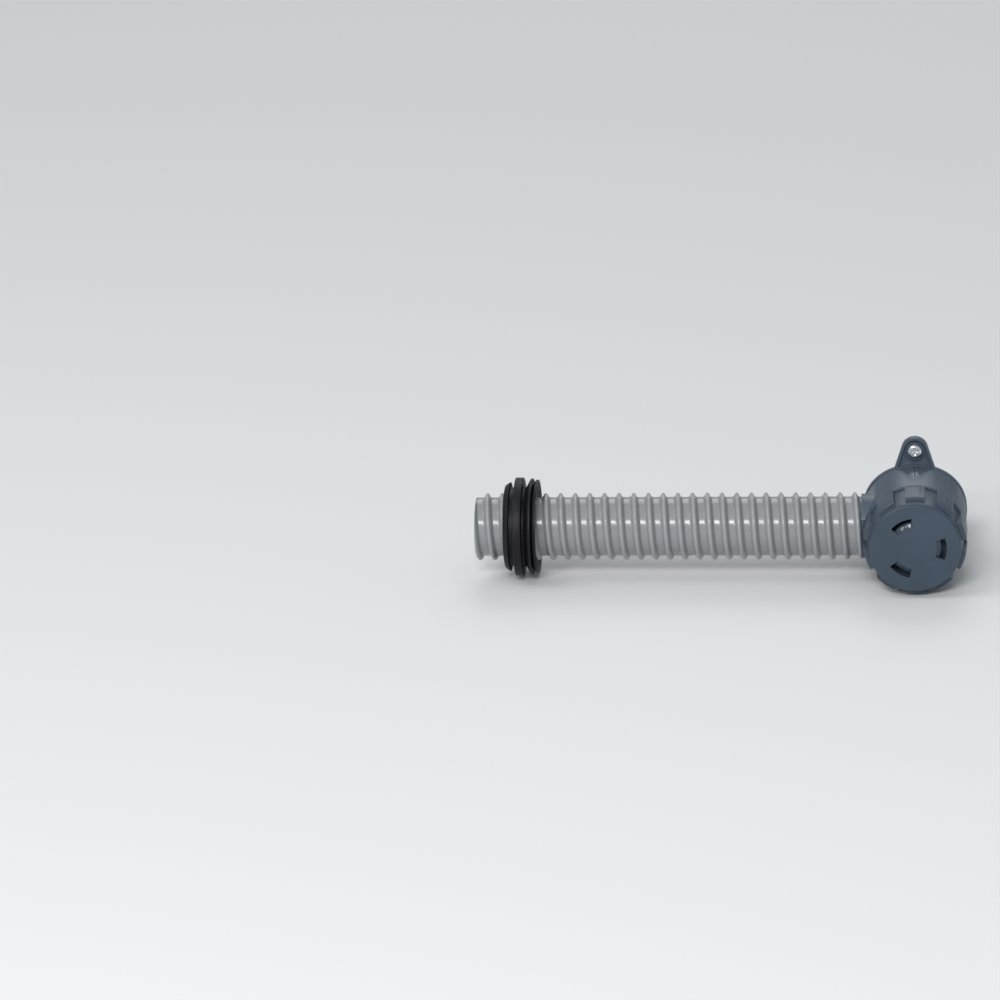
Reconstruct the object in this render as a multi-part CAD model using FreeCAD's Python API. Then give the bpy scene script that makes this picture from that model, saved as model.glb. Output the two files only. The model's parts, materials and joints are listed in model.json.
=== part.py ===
import FreeCAD, Part
import math
import os
from FreeCAD import Vector

# Rainwater diverter for a round wall, with its ribbed hose and the grommet at the hose's far end.
# Row frame, millimetres: +Z up, +Y into the wall, so that the cap faces -Y and the hose runs to -X.
# The origin is where the snout's axis meets the front of the round wall. A depth is a distance towards -Y.

# The round wall that the saddle fits, and the sheet it is made of
seat_radius = 50.0
seat_sheet = 0.7

# Saddle gasket
gasket_thickness = 1.5
gasket_inset = 0.6
gasket_hole_clearance = 0.6

# Housing
flange_radius = 30.2
flange_thickness = 3.0
body_radius = 29.6
body_wall = 2.3
shoulder_depth = 40.7
shoulder_chamfer = 0.7
bore_radius = 18.8
tube_wall = 2.6
snout_wall = 2.1
snout_reach = 11.0
snout_step_clearance = 0.2
lip_front_depth = 54.0
lip_thickness = 2.0
lip_hole_radius = 15.4
rib_count = 6
rib_first_deg = 30.0
rib_thickness = 1.8
rib_setback = 1.6

# Hose port on the side of the housing
port_depth = 24.5
port_bore_radius = 13.4
boss_radius = 18.6
hose_cap_clearance = 0.6
spigot_radius = 15.6
spigot_length = 27.0
barb_count = 3
barb_height = 0.35
barb_length = 4.2
barb_pitch = 7.0

# Screw ear above the saddle
ear_height = 38.8
ear_top_radius = 7.7
ear_base_half_width = 12.8
ear_base_height = 24.0
ear_rim = 1.5
ear_pocket_depth = 1.8
ear_ring_radius = 5.3
ear_ring_proud = 0.4
screw_hole_radius = 2.4

# Fixing screw
screw_shank_radius = 2.1
screw_tip_radius = 0.2
screw_head_radius = 4.1
screw_head_height = 2.7
screw_head_chamfer = 0.9
screw_reach_past_sheet = 9.0
screw_point_length = 4.0
recess_span = 4.6
recess_width = 1.1
recess_depth = 1.5

# Turning cap
cap_gap = 0.3
cap_face_depth = 65.0
cap_face_thickness = 2.4
cap_face_radius = 25.8
cap_face_chamfer = 0.7
cap_edge_thickness = 2.6
cap_edge_radius = 26.5
cap_skirt_radius = 28.2
cap_wall = 2.2
lug_count = 10
lug_first_deg = 90.0
lug_span_deg = 22.6
lug_rear_radius = 30.0
lug_front_radius = 29.1
lug_setback = 4.7
lug_chamfer = 0.8
tube_end_gap = 2.0
guide_clearance = 0.1
guide_wall = 1.6
guide_length = 12.0

# Three slots in the cap's face, with a snap hook behind each
hook_count = 3
hook_first_deg = -1.5
slot_span_deg = 43.0
slot_inner_radius = 12.4
slot_outer_radius = 17.8
slot_end_clearance = 0.4
hook_thickness = 2.5
hook_top_inset = 0.9
hook_chamfer = 1.2
hook_barb_reach = 1.3
hook_barb_length = 2.2
hook_play = 0.25

# Travel stop between housing and cap: the insert turns from summer to winter
turn_range_deg = 180.0
stop_at_deg = -90.0
stop_peg_width = 3.0
stop_peg_length = 3.0
stop_peg_proud = 1.3
stop_clearance = 0.4
stop_clearance_deg = 1.0

# Valve drum, which turns in the housing's bore
drum_clearance = 0.3
drum_wall = 3.1
drum_rear_reach = 16.0
drum_rear_chamfer = 2.2
bulkhead_depth = 44.4
bulkhead_thickness = 2.2
ledge_radius = 15.3
ledge_thickness = 1.5
cup_radius = 16.8
key_thickness = 1.4
key_inner_radius = 12.2
key_clearance = 0.3

# Square-section sealing rings on the drum, one each side of the port
seal_section = 2.0
seal_fit = 0.06
seal_front_depth = 40.2
seal_rear_depth = 7.7
groove_width = 2.4
groove_clearance = 0.05

# Catch scoop on the drum's end, behind the round wall
scoop_gap = 0.6
scoop_wall = 2.0
scoop_rim_height = 3.0
scoop_sleeve_length = 6.0

# Spiral-ribbed hose
hose_bore_radius = 16.0
hose_wall = 1.0
hose_length = 222.5
rib_pitch = 8.5
rib_height = 2.5
rib_foot = 4.4
rib_sink = 0.3
rib_end_margin = 3.5
rib_turns_per_run = 6

# Grommet in a flat panel at the hose's far end
panel_at = 230.4
panel_thickness = 3.0
panel_hole_radius = 23.0
grommet_hole_clearance = 0.2
grommet_hose_clearance = 0.3
grommet_flange_radius = 28.5
grommet_flange_thickness = 4.6
grommet_inner_flange_radius = 26.0
grommet_inner_flange_thickness = 3.0
grommet_inner_flange_taper = 2.0
grommet_lip_thickness = 1.5
grommet_lip_rise = 2.6
grommet_lip_gap = 1.6
grommet_lip_root_radius = 23.0
grommet_lip_radii = (27.9, 27.2)

# What follows is worked out from the sizes above
saddle_radius = seat_radius + gasket_thickness
ear_front = saddle_radius + flange_thickness
ear_ring_front = ear_front + ear_ring_proud
tube_radius = bore_radius + tube_wall
snout_radius = bore_radius + snout_wall
gasket_hole_radius = tube_radius + gasket_hole_clearance
snout_step = seat_radius - math.sqrt(saddle_radius ** 2 - gasket_hole_radius ** 2) + snout_step_clearance
boss_reach = lug_rear_radius + hose_cap_clearance
hose_wall_radius = hose_bore_radius + hose_wall
hose_crest_radius = hose_wall_radius + rib_height
drum_radius = bore_radius - drum_clearance
drum_bore_radius = drum_radius - drum_wall
drum_front_depth = lip_front_depth - lip_thickness - drum_clearance
cap_rear_depth = shoulder_depth + cap_gap
cap_back_depth = cap_face_depth - cap_face_thickness
cap_edge_depth = cap_face_depth - cap_edge_thickness
lug_front_depth = cap_face_depth - lug_setback
tube_front_depth = cap_back_depth - tube_end_gap
hook_radius = slot_inner_radius + hook_thickness
hook_tip_depth = drum_front_depth - ledge_thickness - hook_play - hook_barb_length

# How far a feature runs into its neighbour in the same moulding, and a length past every piece
sink = 0.6
far = 200.0

x_axis, y_axis, z_axis = Vector(1, 0, 0), Vector(0, 1, 0), Vector(0, 0, 1)
origin = Vector(0, 0, 0)


def turned_about_y(outline, span_deg=360.0):
    """A revolved solid about the Y axis, from (y, radius) points, which starts at +X."""
    points = [Vector(radius, y, 0) for y, radius in outline]
    return Part.Face(Part.makePolygon(points + points[:1])).revolve(origin, y_axis, span_deg)


def at_angle(shape, angle_deg):
    """The shape turned about Y so that its +X side points angle_deg above +X, as seen from the front."""
    turned = shape.copy()
    turned.rotate(origin, y_axis, -angle_deg)
    return turned


def sector(outline, span_deg, middle_deg):
    """A revolved block about Y that spans span_deg around the angle middle_deg."""
    return at_angle(turned_about_y(outline, span_deg), middle_deg + span_deg / 2)


def rod_y(radius, front, back, z=0.0):
    """A cylinder along Y from y = front to y = back."""
    return Part.makeCylinder(radius, back - front, Vector(0, front, z), y_axis)


def rod_x(radius, start, end):
    """A cylinder along the hose's axis from x = start to x = end."""
    return Part.makeCylinder(radius, end - start, Vector(start, -port_depth, 0), x_axis)


def upright_round(radius):
    """A tall cylinder about the axis of the round wall."""
    return Part.makeCylinder(radius, 2 * far, Vector(0, seat_radius, -far), z_axis)


def front_layer(inner, outer):
    """The front half of a layer about the axis of the round wall."""
    front_half = Part.makeBox(2 * far, far, 2 * far, Vector(-far, seat_radius - far, -far))
    return upright_round(outer).cut(upright_round(inner)).common(front_half)


def ear_plan(inset):
    """The ear's outline, a round top with straight flared sides, moved in by inset and made into a prism."""
    drop = ear_height - ear_base_height
    reach = math.hypot(ear_base_half_width, drop)
    lean = math.atan2(drop, ear_base_half_width) + math.asin(ear_top_radius / reach)
    radius = ear_top_radius - inset
    upper = Vector(radius * math.sin(lean), 0, ear_height + radius * math.cos(lean))
    lower = Vector(upper.x + (upper.z - ear_base_height) / math.tan(lean), 0, ear_base_height)
    mirrored_upper, mirrored_lower = Vector(-upper.x, 0, upper.z), Vector(-lower.x, 0, lower.z)
    edges = [
        Part.makeLine(lower, upper),
        Part.Arc(upper, Vector(0, 0, ear_height + radius), mirrored_upper).toShape(),
        Part.makeLine(mirrored_upper, mirrored_lower),
        Part.makeLine(mirrored_lower, lower),
    ]
    face = Part.Face(Part.Wire(edges))
    face.translate(Vector(0, -seat_radius, 0))
    return face.extrude(Vector(0, 2 * seat_radius, 0))


def saddle_ear():
    """The ear lies on the round wall, with a raised rim, a recessed field and a ring around its screw hole."""
    plate = ear_plan(0.0).common(front_layer(seat_radius, ear_front))
    plate = plate.cut(ear_plan(ear_rim).common(front_layer(ear_front - ear_pocket_depth, ear_front + sink)))
    ring = rod_y(ear_ring_radius, seat_radius - ear_ring_front, 0.0, z=ear_height)
    plate = plate.fuse(ring.common(front_layer(seat_radius, ear_ring_front)))
    return plate.cut(rod_y(screw_hole_radius, -far, far, z=ear_height))


def hose_port():
    """The boss on the side and the barbed spigot that the hose is pushed onto."""
    ahead_of_shoulder = Part.makeBox(2 * far, far, 2 * far, Vector(-far, -shoulder_depth - far, -far))
    boss = rod_x(boss_radius, -boss_reach, 0.0).cut(ahead_of_shoulder)
    spigot_end = -boss_reach - spigot_length
    port = boss.fuse(rod_x(spigot_radius, spigot_end, 0.0))
    for number in range(barb_count):
        foot = Vector(spigot_end + number * barb_pitch, -port_depth, 0)
        port = port.fuse(Part.makeCone(spigot_radius, spigot_radius + barb_height, barb_length, foot, x_axis))
    return port


def stop_peg():
    """The peg on the inner tube that stops the cap at both ends of its turn."""
    peg = Part.makeBox(sink + stop_peg_proud, stop_peg_length, stop_peg_width)
    peg.translate(Vector(tube_radius - sink, -tube_front_depth, -stop_peg_width / 2))
    return at_angle(peg, stop_at_deg)


def housing():
    """One moulding: saddle, body shell, inner tube with its snout, ribs, screw ear and hose port."""
    body_inner = body_radius - body_wall
    shell = turned_about_y([
        (-shoulder_depth, body_inner), (-shoulder_depth, body_radius - shoulder_chamfer),
        (shoulder_chamfer - shoulder_depth, body_radius), (seat_radius, body_radius), (seat_radius, body_inner)])
    rib_length = seat_radius + shoulder_depth - rib_setback
    rib = Part.makeBox(body_inner - tube_radius + 2 * sink, rib_length, rib_thickness)
    rib.translate(Vector(tube_radius - sink, seat_radius - rib_length, -rib_thickness / 2))
    ribs = [at_angle(rib, rib_first_deg + number * 360 / rib_count) for number in range(rib_count)]
    solid = shell.fuse(ribs).cut(upright_round(saddle_radius))
    flange = rod_y(flange_radius, -seat_radius, seat_radius).common(front_layer(saddle_radius, ear_front))
    tube = rod_y(tube_radius, -tube_front_depth, snout_step)
    snout = rod_y(snout_radius, 0.0, snout_reach)
    solid = solid.fuse([flange, tube, snout, hose_port(), saddle_ear(), stop_peg()])
    solid = solid.cut(rod_y(bore_radius, -far, -lip_front_depth))
    solid = solid.cut(rod_y(bore_radius, lip_thickness - lip_front_depth, far))
    solid = solid.cut(rod_y(lip_hole_radius, -far, far))
    return solid.cut(rod_x(port_bore_radius, -far, 0.0)).removeSplitter()


def saddle_gasket():
    """A flat rubber pad, bent to the round wall, with a hole for the snout."""
    pad = rod_y(flange_radius - gasket_inset, -seat_radius, seat_radius)
    pad = pad.cut(rod_y(gasket_hole_radius, -far, far))
    return pad.common(front_layer(seat_radius, saddle_radius)).cut(ear_plan(0.0))


def fixing_screw():
    """A pan-head sheet-metal screw through the ear, with a cross recess."""
    seat = seat_radius - ear_ring_front
    top = seat - screw_head_height
    head = turned_about_y([
        (top, 0), (top, screw_head_radius - screw_head_chamfer),
        (top + screw_head_chamfer, screw_head_radius), (seat, screw_head_radius), (seat, 0)])
    shank_end = seat_sheet + screw_reach_past_sheet - screw_point_length
    shank = rod_y(screw_shank_radius, seat, shank_end)
    point = Part.makeCone(screw_shank_radius, screw_tip_radius, screw_point_length, Vector(0, shank_end, 0), y_axis)
    bar = Part.makeBox(recess_span, recess_depth, recess_width, Vector(-recess_span / 2, top, -recess_width / 2))
    screw = head.fuse([shank, point]).cut(bar.fuse(at_angle(bar, 90))).removeSplitter()
    screw.translate(Vector(0, 0, ear_height))
    return screw


def cap_lug(middle_deg):
    """One of the grip lugs around the cap's skirt, with a chamfered front edge."""
    outline = [
        (-cap_rear_depth, cap_skirt_radius - sink), (-cap_rear_depth, lug_rear_radius),
        (lug_chamfer - lug_front_depth, lug_front_radius), (-lug_front_depth, lug_front_radius - lug_chamfer),
        (-lug_front_depth, cap_edge_radius - sink)]
    return sector(outline, lug_span_deg, middle_deg)


def cap_hook(middle_deg):
    """A springy arm behind a slot, with an outward barb that grips the drum's ledge."""
    top = hook_top_inset - cap_face_depth
    barb_rear = -hook_tip_depth - hook_barb_length
    inner = slot_inner_radius - sink
    outline = [
        (top, inner), (top, slot_inner_radius), (top + hook_chamfer, hook_radius), (barb_rear, hook_radius),
        (barb_rear, hook_radius + hook_barb_reach), (-hook_tip_depth, hook_radius - sink),
        (-hook_tip_depth, inner)]
    return sector(outline, slot_span_deg - 2 * slot_end_clearance, middle_deg)


def cap_guide():
    """A ring behind the cap's face that runs on the inner tube, notched for the stop peg."""
    inner, outer = tube_radius + guide_clearance, tube_radius + guide_clearance + guide_wall
    front, back = -cap_back_depth - sink, guide_length - cap_back_depth
    ring = turned_about_y([(front, inner), (front, outer), (back, outer), (back, inner)])
    peg_half_deg = math.degrees(stop_peg_width / 2 / tube_radius)
    notch_span = turn_range_deg + 2 * (peg_half_deg + stop_clearance_deg)
    notch_inner, notch_outer = tube_radius - sink, tube_radius + stop_peg_proud + stop_clearance
    notch_back = stop_peg_length + stop_clearance - tube_front_depth
    notch = [
        (-cap_back_depth, notch_inner), (-cap_back_depth, notch_outer),
        (notch_back, notch_outer), (notch_back, notch_inner)]
    return ring.cut(sector(notch, notch_span, stop_at_deg + turn_range_deg / 2))


def turning_cap():
    """The cap: a disc with a fluted skirt, three slots, three snap hooks and a guide ring."""
    core = turned_about_y([
        (-cap_face_depth, 0), (-cap_face_depth, cap_face_radius - cap_face_chamfer),
        (cap_face_chamfer - cap_face_depth, cap_face_radius), (-cap_edge_depth, cap_edge_radius),
        (-cap_rear_depth, cap_skirt_radius), (-cap_rear_depth, cap_skirt_radius - cap_wall),
        (-cap_back_depth, cap_edge_radius - cap_wall), (-cap_back_depth, 0)])
    lugs = [cap_lug(lug_first_deg + number * 360 / lug_count) for number in range(lug_count)]
    cap = core.fuse(lugs + [cap_guide()])
    slot = [
        (-far, slot_inner_radius), (-far, slot_outer_radius),
        (sink - cap_back_depth, slot_outer_radius), (sink - cap_back_depth, slot_inner_radius)]
    hook_angles = [hook_first_deg + number * 360 / hook_count for number in range(hook_count)]
    for angle in hook_angles:
        cap = cap.cut(sector(slot, slot_span_deg, angle))
    return cap.fuse([cap_hook(angle) for angle in hook_angles]).removeSplitter()


def valve_drum():
    """The turning insert: a tube with a window to the hose, a bulkhead and a cup for the cap's hooks."""
    front, rear = -drum_front_depth, drum_rear_reach
    bulkhead_back = bulkhead_thickness - bulkhead_depth
    drum = turned_about_y([
        (front, ledge_radius), (front, drum_radius), (rear, drum_radius),
        (rear, drum_bore_radius + drum_rear_chamfer), (rear - drum_rear_chamfer, drum_bore_radius),
        (bulkhead_back, drum_bore_radius), (bulkhead_back, 0), (-bulkhead_depth, 0),
        (-bulkhead_depth, cup_radius), (front + ledge_thickness, cup_radius),
        (front + ledge_thickness, ledge_radius)])
    groove_floor = bore_radius - seal_fit - seal_section - groove_clearance
    for depth in (seal_front_depth, seal_rear_depth):
        groove_front, groove_back = -depth - groove_width / 2, groove_width / 2 - depth
        drum = drum.cut(turned_about_y([
            (groove_front, groove_floor), (groove_front, bore_radius),
            (groove_back, bore_radius), (groove_back, groove_floor)]))
    drum = drum.cut(rod_x(port_bore_radius, -far, 0.0))
    key = Part.makeBox(cup_radius + sink - key_inner_radius, drum_front_depth - bulkhead_depth, key_thickness)
    key.translate(Vector(key_inner_radius, front, -key_thickness / 2))
    offset = math.degrees((key_thickness / 2 + key_clearance) / slot_inner_radius) + slot_span_deg / 2
    keys = [at_angle(key, hook_first_deg + number * 360 / hook_count + side * offset)
            for number in range(hook_count) for side in (-1, 1)]
    return drum.fuse(keys).removeSplitter()


def seal_ring(depth):
    """A rubber ring in one of the drum's grooves, which wipes the housing's bore."""
    outer = bore_radius - seal_fit
    inner = outer - seal_section
    front, back = -depth - seal_section / 2, seal_section / 2 - depth
    return turned_about_y([(front, inner), (front, outer), (back, outer), (back, inner)])


def front_seal_ring():
    """The sealing ring between the hose port and the cap."""
    return seal_ring(seal_front_depth)


def rear_seal_ring():
    """The sealing ring between the hose port and the saddle."""
    return seal_ring(seal_rear_depth)


def ladle(radius, front):
    """A rod along Y whose far end is rounded about the axis of the round wall."""
    end = rod_y(radius, front, seat_radius + radius).common(upright_round(radius))
    return rod_y(radius, front, seat_radius).fuse(end)


def catch_scoop():
    """A soft ladle on the drum's end, which catches the water that runs down behind the round wall."""
    outer = drum_radius + scoop_wall
    start = snout_reach + scoop_gap
    scoop = ladle(outer, start).cut(ladle(drum_radius, start - sink))
    above = Part.makeBox(4 * outer, far, outer, Vector(-2 * outer, start + scoop_sleeve_length, scoop_rim_height))
    return scoop.cut(above).removeSplitter()


def ribbed_hose():
    """The hose: a thin tube with a rib that climbs around it as a right-hand helix, swept in equal runs."""
    hose = Part.makeCylinder(hose_wall_radius, hose_length)
    all_turns = (hose_length - 2 * rib_end_margin) / rib_pitch
    runs = math.ceil(all_turns / rib_turns_per_run)
    turns = all_turns / runs
    foot = hose_wall_radius - rib_sink
    outline = [Vector(foot, 0, -rib_foot / 2), Vector(foot, 0, rib_foot / 2), Vector(hose_crest_radius, 0, 0)]
    for number in range(runs):
        helix = Part.makeHelix(rib_pitch, turns * rib_pitch, hose_wall_radius)
        profile = Part.makePolygon(outline + outline[:1])
        rib = Part.Solid(Part.Wire(helix.Edges).makePipeShell([profile], True, True))
        rib.rotate(origin, z_axis, 360 * turns * number)
        rib.translate(Vector(0, 0, rib_end_margin + number * turns * rib_pitch))
        hose = hose.fuse(rib)
    hose = hose.cut(Part.makeCylinder(hose_bore_radius, hose_length))
    hose.rotate(origin, y_axis, -90)
    hose.translate(Vector(-boss_reach, -port_depth, 0))
    return hose


def hose_grommet():
    """A rubber grommet for the panel's hole: a groove for the panel, a thick flange and two thin lips."""
    bore = hose_crest_radius + grommet_hose_clearance
    groove_radius = panel_hole_radius - grommet_hole_clearance
    outer_face = -panel_at
    inner_face = outer_face - panel_thickness
    inner_end = inner_face - grommet_inner_flange_thickness
    root = outer_face + grommet_flange_thickness
    outline = [
        (inner_end, bore), (inner_end, grommet_inner_flange_radius - grommet_inner_flange_taper),
        (inner_face, grommet_inner_flange_radius), (inner_face, groove_radius), (outer_face, groove_radius),
        (outer_face, grommet_flange_radius), (root, grommet_flange_radius)]
    for radius in grommet_lip_radii:
        lip_foot = root + grommet_lip_gap
        lip_edge = lip_foot + grommet_lip_rise
        outline += [
            (root, grommet_lip_root_radius), (lip_foot, grommet_lip_root_radius),
            (lip_edge, radius), (lip_edge + grommet_lip_thickness, radius)]
        root = lip_foot + grommet_lip_thickness
    outline += [(root, grommet_lip_root_radius), (root, bore)]
    points = [Vector(x, radius, 0) for x, radius in outline]
    grommet = Part.Face(Part.makePolygon(points + points[:1])).revolve(origin, x_axis, 360)
    grommet.translate(Vector(0, -port_depth, 0))
    return grommet


pieces = {
    "housing": housing,
    "saddle_gasket": saddle_gasket,
    "fixing_screw": fixing_screw,
    "turning_cap": turning_cap,
    "valve_drum": valve_drum,
    "front_seal_ring": front_seal_ring,
    "rear_seal_ring": rear_seal_ring,
    "catch_scoop": catch_scoop,
    "hose": ribbed_hose,
    "hose_grommet": hose_grommet,
}

os.makedirs("parts", exist_ok=True)
for name, make in pieces.items():
    shape = make()
    print(name, "valid:", shape.isValid(), "solids:", len(shape.Solids), "volume:", round(shape.Volume, 1))
    shape.exportStep(os.path.join("parts", name + ".step"))
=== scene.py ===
import json
import math

import bmesh
import bpy
from mathutils import Matrix, Vector


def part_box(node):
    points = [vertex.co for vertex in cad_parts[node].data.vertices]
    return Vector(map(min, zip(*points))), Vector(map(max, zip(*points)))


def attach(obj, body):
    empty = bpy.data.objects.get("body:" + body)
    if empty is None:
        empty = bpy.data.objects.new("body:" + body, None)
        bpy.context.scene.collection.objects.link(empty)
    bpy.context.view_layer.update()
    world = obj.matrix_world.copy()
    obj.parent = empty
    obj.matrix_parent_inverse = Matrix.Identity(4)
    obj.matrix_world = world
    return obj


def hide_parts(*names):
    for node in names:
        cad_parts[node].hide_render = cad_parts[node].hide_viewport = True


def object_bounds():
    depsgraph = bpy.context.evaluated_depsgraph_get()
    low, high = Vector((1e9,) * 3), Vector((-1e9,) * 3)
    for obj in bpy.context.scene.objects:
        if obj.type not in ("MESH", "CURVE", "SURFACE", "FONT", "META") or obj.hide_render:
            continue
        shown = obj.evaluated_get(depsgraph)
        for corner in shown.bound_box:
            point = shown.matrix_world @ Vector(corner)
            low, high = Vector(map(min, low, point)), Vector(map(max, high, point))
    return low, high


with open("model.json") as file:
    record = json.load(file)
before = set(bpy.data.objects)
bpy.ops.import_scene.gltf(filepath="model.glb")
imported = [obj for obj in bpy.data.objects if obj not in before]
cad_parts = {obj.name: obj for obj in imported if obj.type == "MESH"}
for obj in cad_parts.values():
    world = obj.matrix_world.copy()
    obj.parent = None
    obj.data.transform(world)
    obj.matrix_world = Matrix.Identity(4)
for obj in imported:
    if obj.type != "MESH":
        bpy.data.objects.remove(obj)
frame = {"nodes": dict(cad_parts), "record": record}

MM = 0.001
NODES = frame["nodes"]
BODY_OF = {node: body for body, nodes in frame["record"]["behaviour"]["bodies"].items() for node in nodes}
SLOT_OF = {part["node"]: part["material_slot"] for part in frame["record"]["subparts"]}
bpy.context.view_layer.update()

JOIN_DISTANCE = 0.002 * MM
FLAT_ANGLE = math.radians(0.4)
SHARP_ANGLE = math.radians(30)
LEVEL_DISTANCE = 0.01 * MM
LEAST_ROUND_RADIUS = 2 * MM
FINE_FACET_TURN = math.radians(2.5)
WIDEST_FACET_TURN = math.radians(16)
FACET_CUTS = 2
FLAT_ACROSS_AXIS = 0.9999
NEARLY_ACROSS_AXIS = 0.95
LEAST_SPOKE = 0.5 * MM
ROUND_TOLERANCE = math.radians(4)


# Meshes

def new_piece(name, mesh):
    """A new object at the origin, in the scene's own collection."""
    piece = bpy.data.objects.new(name, mesh)
    bpy.context.scene.collection.objects.link(piece)
    return piece


def joined_copy(node, name):
    """A copy of a CAD piece with its loose triangles joined and its flat faces made whole."""
    mesh = NODES[node].data.copy()
    mesh.name = name
    work = bmesh.new()
    work.from_mesh(mesh)
    bmesh.ops.remove_doubles(work, verts=work.verts, dist=JOIN_DISTANCE)
    bmesh.ops.dissolve_degenerate(work, edges=work.edges, dist=JOIN_DISTANCE)
    bmesh.ops.recalc_face_normals(work, faces=work.faces)
    bmesh.ops.dissolve_limit(work, angle_limit=FLAT_ANGLE, verts=work.verts, edges=work.edges)
    for face in work.faces:
        face.smooth = True
    work.to_mesh(mesh)
    work.free()
    mesh.materials.clear()
    return new_piece(name, mesh)


def made_plain(piece):
    """The piece with its modifiers worked into its mesh."""
    evaluated = piece.evaluated_get(bpy.context.evaluated_depsgraph_get())
    mesh = bpy.data.meshes.new_from_object(evaluated)
    mesh.name = piece.name
    piece.modifiers.clear()
    piece.data = mesh
    return piece


def with_round_edges(piece, radius, segments=2):
    """Rounds every sharp edge, and marks the new faces as rounded."""
    for _ in range(2):
        piece.data.materials.append(None)
    rounding = piece.modifiers.new("round edges", "BEVEL")
    rounding.material = 1
    rounding.width = radius
    rounding.segments = segments
    rounding.limit_method = "ANGLE"
    rounding.angle_limit = SHARP_ANGLE
    rounding.miter_outer = "MITER_ARC"
    rounding.harden_normals = True
    mesh = made_plain(piece).data
    rounded = mesh.attributes.new("rounded", "FLOAT", "FACE")
    for face, mark in zip(mesh.polygons, rounded.data):
        mark.value = face.material_index
        face.material_index = 0


def arm_from(point, centre, axis):
    """The vector from the axis straight out to the point."""
    arm = point - centre
    return arm - axis * arm.dot(axis)


def with_finer_rounds(piece, rounds):
    """Splits the wide facets of every round about the given axes, with the new points on the round."""
    work = bmesh.new()
    work.from_mesh(piece.data)
    for centre, axis in rounds:
        reach = work.verts.layers.float.new("reach")
        for vertex in work.verts:
            vertex[reach] = arm_from(vertex.co, centre, axis).length
        chords = []
        for edge in work.edges:
            first, second = edge.verts
            level = abs((first.co - second.co).dot(axis)) < LEVEL_DISTANCE
            same_reach = abs(first[reach] - second[reach]) < LEVEL_DISTANCE
            if level and same_reach and first[reach] > LEAST_ROUND_RADIUS:
                turn = arm_from(first.co, centre, axis).angle(arm_from(second.co, centre, axis))
                if FINE_FACET_TURN < turn < WIDEST_FACET_TURN:
                    chords.append(edge)
        old = set(work.verts)
        bmesh.ops.subdivide_edges(work, edges=chords, cuts=FACET_CUTS)
        for vertex in work.verts:
            if vertex not in old:
                arm = arm_from(vertex.co, centre, axis)
                vertex.co += arm.normalized() * (vertex[reach] - arm.length)
        work.verts.layers.float.remove(reach)
    for face in work.faces:
        face.smooth = True
    work.to_mesh(piece.data)
    work.free()


def with_true_rounds(piece, centre, axis):
    """Gives the facets of every round about the axis that round's own normals, so that they don't show."""
    mesh = piece.data
    rounded = mesh.attributes["rounded"].data
    normals = [corner.vector.copy() for corner in mesh.corner_normals]
    for face in mesh.polygons:
        along = face.normal.dot(axis)
        spoke = arm_from(face.center, centre, axis)
        if abs(along) > FLAT_ACROSS_AXIS and not rounded[face.index].value:
            for corner in face.loop_indices:
                normals[corner] = face.normal.copy()
        if abs(along) > NEARLY_ACROSS_AXIS or spoke.length < LEAST_SPOKE:
            continue
        outward = math.copysign(1.0, face.normal.dot(spoke))
        expected = axis * along + spoke.normalized() * outward * math.sqrt(1 - along * along)
        if expected.angle(face.normal) > ROUND_TOLERANCE:
            continue
        for corner in face.loop_indices:
            arm = arm_from(mesh.vertices[mesh.loops[corner].vertex_index].co, centre, axis)
            lean = max(-1.0, min(1.0, normals[corner].dot(axis)))
            normals[corner] = axis * lean + arm.normalized() * outward * math.sqrt(1 - lean * lean)
    mesh.normals_split_custom_set(normals)


# Materials

class Shader:
    """A small helper that adds and links the nodes of one material or shader group."""

    def __init__(self, tree):
        self.tree = tree
        tree.nodes.clear()

    def node(self, kind, inputs=None, **settings):
        made = self.tree.nodes.new(kind)
        for key, value in settings.items():
            setattr(made, key, value)
        for key, value in (inputs or {}).items():
            self.feed(made.inputs[key], value)
        return made

    def feed(self, socket, value):
        if isinstance(value, bpy.types.NodeSocket):
            self.tree.links.new(value, socket)
        else:
            socket.default_value = value

    def math(self, operation, first, second=0.5, clamp=False):
        made = self.node("ShaderNodeMath", {0: first, 1: second}, operation=operation, use_clamp=clamp)
        return made.outputs[0]

    def mixed(self, amount, first, second, blend="MIX"):
        made = self.node("ShaderNodeMix", data_type="RGBA", blend_type=blend)
        self.feed(made.inputs["Factor"], amount)
        self.feed([s for s in made.inputs if s.name == "A" and s.type == "RGBA"][0], first)
        self.feed([s for s in made.inputs if s.name == "B" and s.type == "RGBA"][0], second)
        return [s for s in made.outputs if s.type == "RGBA"][0]

    def spread(self, value, low, high, to_low=0.0, to_high=1.0):
        made = self.node("ShaderNodeMapRange", {"Value": value, "From Min": low, "From Max": high,
                                                "To Min": to_low, "To Max": to_high}, clamp=True)
        return made.outputs["Result"]


def group_of(name, inputs, outputs):
    """An empty shader group with named sockets, and its helper, input and output nodes."""
    tree = bpy.data.node_groups.new(name, "ShaderNodeTree")
    for label, kind, value in inputs:
        tree.interface.new_socket(label, in_out="INPUT", socket_type=kind).default_value = value
    for label, kind in outputs:
        tree.interface.new_socket(label, in_out="OUTPUT", socket_type=kind)
    helper = Shader(tree)
    return tree, helper, helper.node("NodeGroupInput").outputs, helper.node("NodeGroupOutput").inputs


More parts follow.
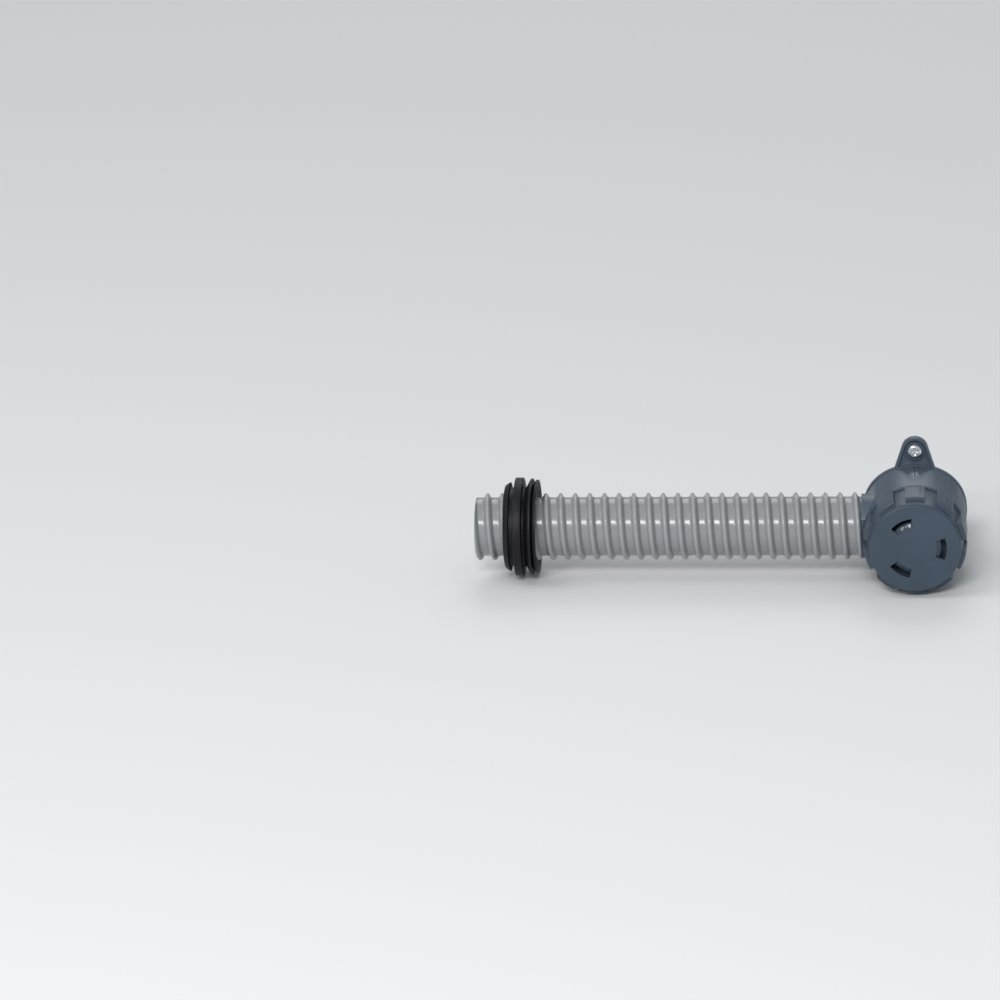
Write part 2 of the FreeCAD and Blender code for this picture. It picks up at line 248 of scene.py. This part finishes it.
def moulded_grain():
    """Fine moulding grain with slow waves under it: a height, a roughness offset and a tint."""
    tree, s, given, out = group_of("moulded grain", [
        ("Grain Size", "NodeSocketFloat", 0.5 * MM), ("Waves", "NodeSocketFloat", 0.3)], [
        ("Height", "NodeSocketFloat"), ("Unevenness", "NodeSocketFloat"), ("Tint", "NodeSocketFloat")])
    place = s.node("ShaderNodeTexCoord").outputs["Object"]
    fine_scale = s.math("DIVIDE", 1.0, given["Grain Size"])
    fine = s.node("ShaderNodeTexNoise", {"Vector": place, "Scale": fine_scale, "Detail": 3.0,
                                         "Roughness": 0.6})
    broad = s.node("ShaderNodeTexNoise", {"Vector": place, "Scale": 55.0, "Detail": 2.0, "Roughness": 0.5})
    cloud = s.node("ShaderNodeTexNoise", {"Vector": place, "Scale": 24.0, "Detail": 4.0, "Roughness": 0.65})
    waves = s.math("MULTIPLY", broad.outputs["Fac"], given["Waves"])
    s.feed(out["Height"], s.math("ADD", fine.outputs["Fac"], s.math("MULTIPLY", waves, 4.0)))
    s.feed(out["Unevenness"], s.math("SUBTRACT", cloud.outputs["Fac"], 0.5))
    s.feed(out["Tint"], s.spread(cloud.outputs["Fac"], 0.35, 0.65))
    return tree


def handled_edges():
    """Where rounded edges have been rubbed bright, and where dust stays in corners and on top."""
    tree, s, given, out = group_of("handled edges", [
        ("Rub", "NodeSocketFloat", 0.5), ("Dust", "NodeSocketFloat", 0.3)], [
        ("Rubbed", "NodeSocketFloat"), ("Dusty", "NodeSocketFloat")])
    place = s.node("ShaderNodeTexCoord").outputs["Object"]
    geometry = s.node("ShaderNodeNewGeometry")
    ridge = s.node("ShaderNodeAttribute", attribute_name="rounded").outputs["Fac"]
    broken = s.node("ShaderNodeTexNoise", {"Vector": place, "Scale": 260.0, "Detail": 4.0,
                                           "Roughness": 0.7})
    rubbed = s.math("MULTIPLY", ridge, s.spread(broken.outputs["Fac"], 0.42, 0.62))
    s.feed(out["Rubbed"], s.math("MULTIPLY", rubbed, given["Rub"], clamp=True))
    corner = s.node("ShaderNodeAmbientOcclusion", {"Distance": 4.0 * MM}, samples=6)
    hollow = s.spread(corner.outputs["AO"], 0.35, 0.95, 1.0, 0.0)
    up = s.node("ShaderNodeSeparateXYZ", {"Vector": geometry.outputs["Normal"]}).outputs["Z"]
    settled = s.spread(up, 0.2, 1.0, 0.0, 0.6)
    speck = s.node("ShaderNodeTexNoise", {"Vector": place, "Scale": 420.0, "Detail": 5.0,
                                          "Roughness": 0.75})
    lie = s.math("ADD", s.math("MULTIPLY", hollow, 0.7), settled, clamp=True)
    dusty = s.math("MULTIPLY", lie, s.spread(speck.outputs["Fac"], 0.40, 0.70))
    s.feed(out["Dusty"], s.math("MULTIPLY", dusty, given["Dust"], clamp=True))
    return tree


GRAIN = moulded_grain()
EDGES = handled_edges()
DUST_COLOUR = (0.32, 0.30, 0.27, 1.0)
CAP_FACE_LEVEL = (-64.8 * MM, -64.4 * MM)
SLOT_REACH = (18.5 * MM, 19.5 * MM)


def plastic(name, colour, roughness, grain_size=0.45, grain_height=0.02, waves=0.3, rub=0.5, dust=0.25,
            lighter=1.35, specular=0.5, polish=None):
    """Moulded plastic or rubber: clouded, grained, rubbed at its edges and dusty in its corners."""
    material = bpy.data.materials.new(name)
    material.use_nodes = True
    s = Shader(material.node_tree)
    grain = s.node("ShaderNodeGroup", node_tree=GRAIN)
    s.feed(grain.inputs["Grain Size"], grain_size * MM)
    s.feed(grain.inputs["Waves"], waves)
    edges = s.node("ShaderNodeGroup", node_tree=EDGES)
    s.feed(edges.inputs["Rub"], rub)
    s.feed(edges.inputs["Dust"], dust)
    deep = tuple(0.90 * c for c in colour) + (1.0,)
    pale = tuple(1.10 * c for c in colour) + (1.0,)
    bright = tuple(lighter * c + 0.01 for c in colour) + (1.0,)
    base = s.mixed(grain.outputs["Tint"], deep, pale)
    base = s.mixed(edges.outputs["Rubbed"], base, bright)
    base = s.mixed(edges.outputs["Dusty"], base, DUST_COLOUR)
    rough = s.math("ADD", s.math("MULTIPLY", grain.outputs["Unevenness"], 0.18), roughness)
    rough = s.math("SUBTRACT", rough, s.math("MULTIPLY", edges.outputs["Rubbed"], 0.10))
    rough = s.math("ADD", rough, s.math("MULTIPLY", edges.outputs["Dusty"], 0.35), clamp=True)
    if polish:
        place = s.node("ShaderNodeSeparateXYZ", {0: s.node("ShaderNodeTexCoord").outputs["Object"]}).outputs
        squares = s.math("ADD", s.math("POWER", place["X"], 2.0), s.math("POWER", place["Z"], 2.0))
        reach = s.math("SQRT", squares)
        behind_face = s.spread(place["Y"], *CAP_FACE_LEVEL)
        inside = s.math("MULTIPLY", behind_face, s.spread(reach, *SLOT_REACH, 1.0, 0.0))
        rough = s.math("SUBTRACT", rough, s.math("MULTIPLY", inside, polish), clamp=True)
    relief = s.node("ShaderNodeBump", {"Height": grain.outputs["Height"], "Distance": grain_height * MM,
                                       "Strength": 1.0})
    surface = s.node("ShaderNodeBsdfPrincipled", {"Base Color": base, "Roughness": rough,
                                                  "Normal": relief.outputs["Normal"],
                                                  "Specular IOR Level": specular})
    s.node("ShaderNodeOutputMaterial", {"Surface": surface.outputs[0]})
    return material


def zinc():
    """Bright zinc plating with fine turning marks and a few dull spots."""
    material = bpy.data.materials.new("screw zinc")
    material.use_nodes = True
    s = Shader(material.node_tree)
    place = s.node("ShaderNodeTexCoord").outputs["Object"]
    spots = s.node("ShaderNodeTexNoise", {"Vector": place, "Scale": 420.0, "Detail": 3.0,
                                          "Roughness": 0.55})
    marks = s.node("ShaderNodeTexNoise", {"Vector": place, "Scale": 2600.0, "Detail": 2.0})
    edges = s.node("ShaderNodeGroup", node_tree=EDGES)
    s.feed(edges.inputs["Rub"], 0.2)
    s.feed(edges.inputs["Dust"], 0.25)
    dull = s.spread(spots.outputs["Fac"], 0.40, 0.75)
    base = s.mixed(dull, (0.94, 0.96, 0.98, 1.0), (0.84, 0.86, 0.89, 1.0))
    base = s.mixed(edges.outputs["Dusty"], base, (0.20, 0.18, 0.16, 1.0))
    rough = s.spread(spots.outputs["Fac"], 0.3, 0.8, 0.20, 0.32)
    metal = s.math("SUBTRACT", 1.0, edges.outputs["Dusty"])
    relief = s.node("ShaderNodeBump", {"Height": marks.outputs["Fac"], "Distance": 0.0015 * MM,
                                       "Strength": 1.0})
    surface = s.node("ShaderNodeBsdfPrincipled", {"Base Color": base, "Roughness": rough, "Metallic": metal,
                                                  "Normal": relief.outputs["Normal"]})
    s.node("ShaderNodeOutputMaterial", {"Surface": surface.outputs[0]})
    return material


def hose_plastic():
    """Soft grey hose plastic: lighter on the rib, with a painted shade line at each foot of the rib and
    fine drawn streaks.
    """
    material = bpy.data.materials.new("hose plastic")
    material.use_nodes = True
    s = Shader(material.node_tree)
    grain = s.node("ShaderNodeGroup", node_tree=GRAIN)
    s.feed(grain.inputs["Grain Size"], 0.6 * MM)
    s.feed(grain.inputs["Waves"], 0.5)
    edges = s.node("ShaderNodeGroup", node_tree=EDGES)
    s.feed(edges.inputs["Rub"], 0.0)
    s.feed(edges.inputs["Dust"], 0.12)
    rise = s.node("ShaderNodeAttribute", attribute_name="rib").outputs["Fac"]
    turn = s.node("ShaderNodeAttribute", attribute_name="turn").outputs["Fac"]
    across = s.node("ShaderNodeAttribute", attribute_name="across").outputs["Fac"]
    drawn_place = s.node("ShaderNodeCombineXYZ", {0: s.math("MULTIPLY", across, 9.0),
                                                  1: s.math("MULTIPLY", turn, 1.5)})
    drawn = s.node("ShaderNodeTexNoise", {"Vector": drawn_place.outputs[0], "Scale": 3.0, "Detail": 3.0})
    base = s.mixed(rise, (0.275, 0.290, 0.300, 1.0), (0.330, 0.345, 0.350, 1.0))
    base = s.mixed(s.math("MULTIPLY", s.spread(drawn.outputs["Fac"], 0.35, 0.75), 0.35), base,
                   (0.225, 0.238, 0.248, 1.0))
    # Painted shade: the rib's feet are darkened where the rib would shade the wall.
    foot_shade = s.node("ShaderNodeAttribute", attribute_name="foot_shade").outputs["Fac"]
    base = s.mixed(s.math("MULTIPLY", foot_shade, 0.60, clamp=True), base, (0.085, 0.090, 0.095, 1.0))
    base = s.mixed(edges.outputs["Dusty"], base, DUST_COLOUR)
    rough = s.math("ADD", s.math("MULTIPLY", grain.outputs["Unevenness"], 0.16), 0.20)
    rough = s.math("ADD", rough, s.math("MULTIPLY", edges.outputs["Dusty"], 0.35), clamp=True)
    height = s.math("ADD", grain.outputs["Height"], s.math("MULTIPLY", drawn.outputs["Fac"], 1.5))
    relief = s.node("ShaderNodeBump", {"Height": height, "Distance": 0.02 * MM, "Strength": 1.0})
    surface = s.node("ShaderNodeBsdfPrincipled", {"Base Color": base, "Roughness": rough,
                                                  "Normal": relief.outputs["Normal"]})
    s.node("ShaderNodeOutputMaterial", {"Surface": surface.outputs[0]})
    return material


FINISH = {
    "housing_plastic": plastic("housing plastic", (0.054, 0.079, 0.112), 0.40, rub=0.25, dust=0.08),
    "cap_plastic": plastic("cap plastic", (0.038, 0.061, 0.090), 0.42, grain_height=0.03, rub=0.20,
                           dust=0.06, polish=0.28),
    "drum_plastic": plastic("drum plastic", (0.045, 0.052, 0.062), 0.45, dust=0.10),
    "scoop_rubber": plastic("scoop rubber", (0.020, 0.020, 0.021), 0.62, grain_size=0.3, rub=0.2,
                            dust=0.30),
    "seal_rubber": plastic("seal rubber", (0.018, 0.018, 0.019), 0.68, grain_size=0.25, rub=0.2,
                           dust=0.30),
    "screw_zinc": zinc(),
    "hose_plastic": hose_plastic(),
    "grommet_rubber": plastic("grommet rubber", (0.007, 0.007, 0.008), 0.50, grain_size=0.3, rub=0.1,
                              dust=0.03, lighter=1.2, specular=0.25),
}


def finished(piece, node):
    """Gives the piece its material, body and slot, and lets it stand for the CAD piece."""
    piece.data.materials.clear()
    piece.data.materials.append(FINISH[SLOT_OF[node]])
    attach(piece, BODY_OF[node])
    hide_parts(node)


# Hose

class Geometry(Shader):
    """The same helper for a geometry tree."""

    def vector(self, x, y, z):
        return self.node("ShaderNodeCombineXYZ", {0: x, 1: y, 2: z}).outputs[0]


def geometry_tree(name, inputs):
    """An empty geometry tree with named inputs, and its helper, input and output nodes."""
    tree = bpy.data.node_groups.new(name, "GeometryNodeTree")
    tree.interface.new_socket("Geometry", in_out="INPUT", socket_type="NodeSocketGeometry")
    for label, kind, value in inputs:
        socket = tree.interface.new_socket(label, in_out="INPUT", socket_type=kind)
        if value is not None:
            socket.default_value = value
    tree.interface.new_socket("Geometry", in_out="OUTPUT", socket_type="NodeSocketGeometry")
    g = Geometry(tree)
    return tree, g, g.node("NodeGroupInput").outputs, g.node("NodeGroupOutput").inputs


def grown(name, tree, settings):
    """A piece that a geometry tree makes, worked into a plain mesh."""
    piece = new_piece(name, bpy.data.meshes.new(name))
    grower = piece.modifiers.new(tree.name, "NODES")
    grower.node_group = tree
    for item in tree.interface.items_tree:
        if item.in_out == "INPUT" and item.name in settings:
            grower[item.identifier] = settings[item.name]
    return made_plain(piece)


# Painted shade lines along the rib's feet: offset from the crest, width and strength; the rear one is the
# darker.
REAR_FOOT_SHADE = (-2.1 * MM, 0.6 * MM, 1.0)
FRONT_FOOT_SHADE = (2.1 * MM, 0.5 * MM, 0.4)


def ribbed_hose_tree():
    """One skin whose rows follow the rib: a sheared grid, rolled into a tube and closed by its bore."""
    tree, g, given, out = geometry_tree("ribbed hose", [
        ("Length", "NodeSocketFloat", 0.2225), ("Wall Radius", "NodeSocketFloat", 0.017),
        ("Bore Radius", "NodeSocketFloat", 0.016), ("Rib Height", "NodeSocketFloat", 0.0025),
        ("Rib Half Width", "NodeSocketFloat", 0.0015), ("Pitch", "NodeSocketFloat", 0.0085),
        ("First Crest", "NodeSocketFloat", 0.0035), ("Rows Per Turn", "NodeSocketInt", 17),
        ("Rows", "NodeSocketInt", 465), ("Around", "NodeSocketInt", 96),
        ("Start", "NodeSocketVector", (0.0, 0.0, 0.0)), ("Material", "NodeSocketMaterial", None)])
    around = g.math("ADD", given["Around"], 1.0)
    grid = g.node("GeometryNodeMeshGrid", {"Size X": 1.0, "Size Y": 1.0, "Vertices X": around,
                                           "Vertices Y": given["Rows"]})
    at = g.node("ShaderNodeSeparateXYZ", {0: g.node("GeometryNodeInputPosition").outputs[0]}).outputs
    turn = g.math("ADD", at["X"], 0.5)
    last_row = g.math("SUBTRACT", given["Rows"], 1.0)
    row = g.math("ROUND", g.math("MULTIPLY", g.math("ADD", at["Y"], 0.5), last_row))
    row_step = g.math("DIVIDE", given["Pitch"], given["Rows Per Turn"])
    sheared = g.math("ADD", g.math("MULTIPLY", g.math("SUBTRACT", row, 1.0), row_step),
                     g.math("MULTIPLY", g.math("SUBTRACT", turn, 1.0), given["Pitch"]))
    along = g.math("MINIMUM", g.math("MAXIMUM", sheared, 0.0), given["Length"])
    crests_passed = g.math("DIVIDE", g.math("SUBTRACT", along, given["First Crest"]), given["Pitch"])
    phase = g.math("SUBTRACT", crests_passed, turn)
    off_crest = g.math("SUBTRACT", g.math("FRACT", g.math("ADD", phase, 0.5)), 0.5)
    off_crest = g.math("MULTIPLY", off_crest, given["Pitch"])

    def shade_line_at(distance, width, depth):
        off_line = g.math("DIVIDE", g.math("SUBTRACT", off_crest, distance), width)
        faded = g.math("EXPONENT", g.math("MULTIPLY", g.math("POWER", off_line, 2.0), -1.0))
        return g.math("MULTIPLY", faded, depth)

    # Painted shade at the rib's feet, kept as a point attribute for the hose material.
    foot_shade = g.math("ADD", shade_line_at(*REAR_FOOT_SHADE), shade_line_at(*FRONT_FOOT_SHADE))
    off_crest = g.math("ABSOLUTE", off_crest)
    fall = g.math("POWER", g.math("DIVIDE", off_crest, given["Rib Half Width"]), 3.0)
    rib = g.math("EXPONENT", g.math("MULTIPLY", fall, -1.0))
    outside = g.math("ADD", given["Wall Radius"], g.math("MULTIPLY", rib, given["Rib Height"]))
    is_last = g.math("GREATER_THAN", row, g.math("SUBTRACT", last_row, 0.5))
    is_end = g.math("MAXIMUM", g.math("LESS_THAN", row, 0.5), is_last)
    radius = g.math("ADD", g.math("MULTIPLY", is_end, given["Bore Radius"]),
                    g.math("MULTIPLY", g.math("SUBTRACT", 1.0, is_end), outside))
    start = g.node("ShaderNodeSeparateXYZ", {0: given["Start"]}).outputs

    def rolled(distance, size, part_turn):
        angle = g.math("MULTIPLY", part_turn, 2 * math.pi)
        return g.vector(g.math("SUBTRACT", start["X"], distance),
                        g.math("ADD", start["Y"], g.math("MULTIPLY", size, g.math("SINE", angle))),
                        g.math("ADD", start["Z"], g.math("MULTIPLY", size, g.math("COSINE", angle))))

    named = grid.outputs["Mesh"]
    across = g.math("DIVIDE", along, given["Pitch"])
    for label, value in (("rib", rib), ("foot_shade", foot_shade), ("turn", turn), ("across", across)):
        store = g.node("GeometryNodeStoreNamedAttribute", {"Geometry": named, "Name": label},
                       data_type="FLOAT", domain="POINT")
        g.feed([socket for socket in store.inputs if socket.name == "Value" and socket.enabled][0], value)
        named = store.outputs["Geometry"]
    skin = g.node("GeometryNodeSetPosition", {"Geometry": named, "Position": rolled(along, radius, turn)})
    bore = g.node("GeometryNodeMeshGrid", {"Size X": 1.0, "Size Y": 1.0, "Vertices X": around,
                                           "Vertices Y": 24})
    bore_along = g.math("MULTIPLY", g.math("ADD", at["Y"], 0.5), given["Length"])
    inner = g.node("GeometryNodeSetPosition", {
        "Geometry": bore.outputs["Mesh"], "Position": rolled(bore_along, given["Bore Radius"], turn)})
    both = g.node("GeometryNodeJoinGeometry")
    g.feed(both.inputs[0], skin.outputs[0])
    inner_out = g.node("GeometryNodeFlipFaces", {"Mesh": inner.outputs[0]})
    g.feed(both.inputs[0], inner_out.outputs[0])
    closed = g.node("GeometryNodeMergeByDistance", {"Geometry": both.outputs[0], "Distance": 0.004 * MM})
    smooth = g.node("GeometryNodeSetShadeSmooth", {"Geometry": closed.outputs[0]})
    real = g.node("GeometryNodeRealizeInstances", {"Geometry": smooth.outputs[0]})
    skinned = g.node("GeometryNodeSetMaterial", {"Geometry": real.outputs[0],
                                                 "Material": given["Material"]})
    g.feed(out[0], skinned.outputs[0])
    return tree


def make_hose():
    """The hose, grown between the ends of its CAD piece."""
    low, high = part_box("hose")
    middle_y = (low.y + high.y) / 2
    hose = grown("ribbed_hose", ribbed_hose_tree(), {
        "Length": high.x - low.x, "Start": (high.x, middle_y, 0.0), "Material": FINISH["hose_plastic"]})
    work = bmesh.new()
    work.from_mesh(hose.data)
    bmesh.ops.recalc_face_normals(work, faces=work.faces)
    work.to_mesh(hose.data)
    work.free()
    finished(hose, "hose")


# Moulded pieces

INSERT_AXIS = (Vector((0, 0, 0)), Vector((0, 1, 0)))
HOSE_LOW, HOSE_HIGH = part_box("hose")
HOSE_AXIS = (Vector((0, (HOSE_LOW.y + HOSE_HIGH.y) / 2, 0)), Vector((1, 0, 0)))
WALL_AXIS = (Vector((0, 50 * MM, 0)), Vector((0, 0, 1)))
SCREW_AXIS = (Vector((0, 0, 38.8 * MM)), Vector((0, 1, 0)))
SCREW_HEAD_HEIGHT = 2.7 * MM
SCREW_HEAD_SLIMMING = 0.92
SCREW_SEAT_RADIUS = 4.8 * MM
SCREW_SEAT_DEPTH = 1.1 * MM
SCREW_SEAT_SEGMENTS = 64
RING_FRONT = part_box("fixing_screw")[0].y + SCREW_HEAD_HEIGHT


def with_screw_seat(piece):
    """Sinks a round seat for the screw's head into the ring on the ear."""
    work = bmesh.new()
    middle = SCREW_AXIS[0] + Vector((0, RING_FRONT, 0))
    place = Matrix.Translation(middle) @ Matrix.Rotation(math.pi / 2, 4, "X")
    bmesh.ops.create_cone(work, cap_ends=True, segments=SCREW_SEAT_SEGMENTS, radius1=SCREW_SEAT_RADIUS,
                          radius2=SCREW_SEAT_RADIUS, depth=2 * SCREW_SEAT_DEPTH, matrix=place)
    mesh = bpy.data.meshes.new("seat cutter")
    work.to_mesh(mesh)
    work.free()
    cutter = new_piece("seat_cutter", mesh)
    cut = piece.modifiers.new("screw seat", "BOOLEAN")
    cut.operation = "DIFFERENCE"
    cut.object = cutter
    made_plain(piece)
    bpy.data.objects.remove(cutter)
    for face in piece.data.polygons:
        face.use_smooth = True


def with_sunk_head(piece):
    """Slims the screw's head a little and lets it down into its seat."""
    for vertex in piece.data.vertices:
        if vertex.co.y < RING_FRONT + LEVEL_DISTANCE:
            vertex.co.x *= SCREW_HEAD_SLIMMING
            vertex.co.z = SCREW_AXIS[0].z + (vertex.co.z - SCREW_AXIS[0].z) * SCREW_HEAD_SLIMMING
        vertex.co.y += SCREW_SEAT_DEPTH


def moulded(node, name, radius, *rounds, shaped=None, **options):
    """A CAD piece with rounded edges, true round surfaces about the given axes, and its material."""
    piece = joined_copy(node, name)
    if shaped:
        shaped(piece)
    with_finer_rounds(piece, rounds)
    with_round_edges(piece, radius * MM, **options)
    for centre, axis in rounds:
        with_true_rounds(piece, centre, axis)
    finished(piece, node)


make_hose()
moulded("housing", "housing_moulding", 0.35, INSERT_AXIS, HOSE_AXIS, WALL_AXIS, SCREW_AXIS,
        shaped=with_screw_seat)
moulded("turning_cap", "fluted_cap", 0.6, INSERT_AXIS)
moulded("valve_drum", "drum_moulding", 0.25, INSERT_AXIS, HOSE_AXIS)
moulded("catch_scoop", "scoop_ladle", 0.5, INSERT_AXIS)
moulded("saddle_gasket", "gasket_pad", 0.3, INSERT_AXIS, WALL_AXIS)
moulded("fixing_screw", "zinc_screw", 0.12, SCREW_AXIS, shaped=with_sunk_head)
moulded("hose_grommet", "rubber_grommet", 0.4, HOSE_AXIS, segments=3)
moulded("front_seal_ring", "seal_ring_front", 0.4, INSERT_AXIS)
moulded("rear_seal_ring", "seal_ring_rear", 0.4, INSERT_AXIS)


# Floor, light and camera

FLOOR_SIDE = 6.0
FLOOR_GAP = 0.2 * MM
CAMERA_DISTANCE = 2.482
CAMERA_LENS = 154.84


def make_floor():
    """A plain pale floor just under the part; seen from below it is clear."""
    low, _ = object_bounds()
    corners = [(-FLOOR_SIDE, -FLOOR_SIDE), (FLOOR_SIDE, -FLOOR_SIDE),
               (FLOOR_SIDE, FLOOR_SIDE), (-FLOOR_SIDE, FLOOR_SIDE)]
    mesh = bpy.data.meshes.new("pale_floor")
    mesh.from_pydata([(x, y, low.z - FLOOR_GAP) for x, y in corners], [], [(0, 1, 2, 3)])
    floor = new_piece("pale_floor", mesh)
    material = bpy.data.materials.new("pale floor")
    material.use_nodes = True
    s = Shader(material.node_tree)
    surface = s.node("ShaderNodeBsdfPrincipled", {"Base Color": (0.80, 0.80, 0.80, 1.0), "Roughness": 0.9,
                                                  "Specular IOR Level": 0.1})
    clear = s.node("ShaderNodeBsdfTransparent")
    behind = s.node("ShaderNodeNewGeometry").outputs["Backfacing"]
    either = s.node("ShaderNodeMixShader", {0: behind, 1: surface.outputs[0], 2: clear.outputs[0]})
    s.node("ShaderNodeOutputMaterial", {"Surface": either.outputs[0]})
    mesh.materials.append(material)


def area_light(name, place, target, width, height, power):
    """A soft rectangular lamp that the camera doesn't see."""
    data = bpy.data.lights.new(name, "AREA")
    data.shape = "RECTANGLE"
    data.size, data.size_y = width, height
    data.energy = power
    lamp = bpy.data.objects.new(name, data)
    bpy.context.scene.collection.objects.link(lamp)
    lamp.location = place
    lamp.rotation_mode = "QUATERNION"
    lamp.rotation_quaternion = (Vector(target) - Vector(place)).to_track_quat("-Z", "Y")
    lamp.visible_camera = False


def make_light():
    """A soft sky, three soft lamps in front and above, and a large one high behind."""
    world = bpy.data.worlds.new("soft sky")
    bpy.context.scene.world = world
    world.use_nodes = True
    s = Shader(world.node_tree)
    sky = s.node("ShaderNodeBackground", {"Color": (0.90, 0.95, 1.0, 1.0), "Strength": 0.40})
    s.node("ShaderNodeOutputWorld", {"Surface": sky.outputs[0]})
    middle = (-0.11, -0.02, 0.0)
    area_light("front_strip", (-0.31, -2.60, 1.80), middle, 0.95, 0.44, 38.0)
    area_light("front_left", (-1.20, -2.45, 1.26), (0.0, -0.06, 0.0), 0.5, 0.5, 14.0)
    area_light("high_soft", (-1.9, -1.0, 2.6), middle, 1.8, 1.8, 22.0)
    area_light("behind_high", (0.0, 4.0, 3.6), middle, 3.0, 3.0, 58.0)


def make_camera():
    """The photograph's view: a long lens well in front, looking down at the middle of the hose."""
    aim, stand = Vector((-238.85, -30.0, 18.11)) * MM, Vector((0.0, -30.0, 0.0)) * MM
    azimuth, elevation, roll = math.radians(-0.125), math.radians(18.77), math.radians(-1.942)
    back = Vector((math.sin(azimuth) * math.cos(elevation), -math.cos(azimuth) * math.cos(elevation),
                   math.sin(elevation)))
    place = stand + back * CAMERA_DISTANCE
    forward = (aim - place).normalized()
    right = forward.cross(Vector((0, 0, 1))).normalized()
    up = right.cross(forward)
    rolled_right = right * math.cos(roll) + up * math.sin(roll)
    rolled_up = up * math.cos(roll) - right * math.sin(roll)
    data = bpy.data.cameras.new("photo view")
    data.sensor_width = 36.0
    data.lens = CAMERA_LENS
    data.clip_start, data.clip_end = 0.05, 50.0
    camera = bpy.data.objects.new("photo view", data)
    bpy.context.scene.collection.objects.link(camera)
    turned = Matrix((rolled_right, rolled_up, -forward)).transposed().to_4x4()
    camera.matrix_world = Matrix.Translation(place) @ turned
    bpy.context.scene.camera = camera


make_floor()
make_light()
make_camera()
bpy.context.scene.view_settings.view_transform = "Standard"
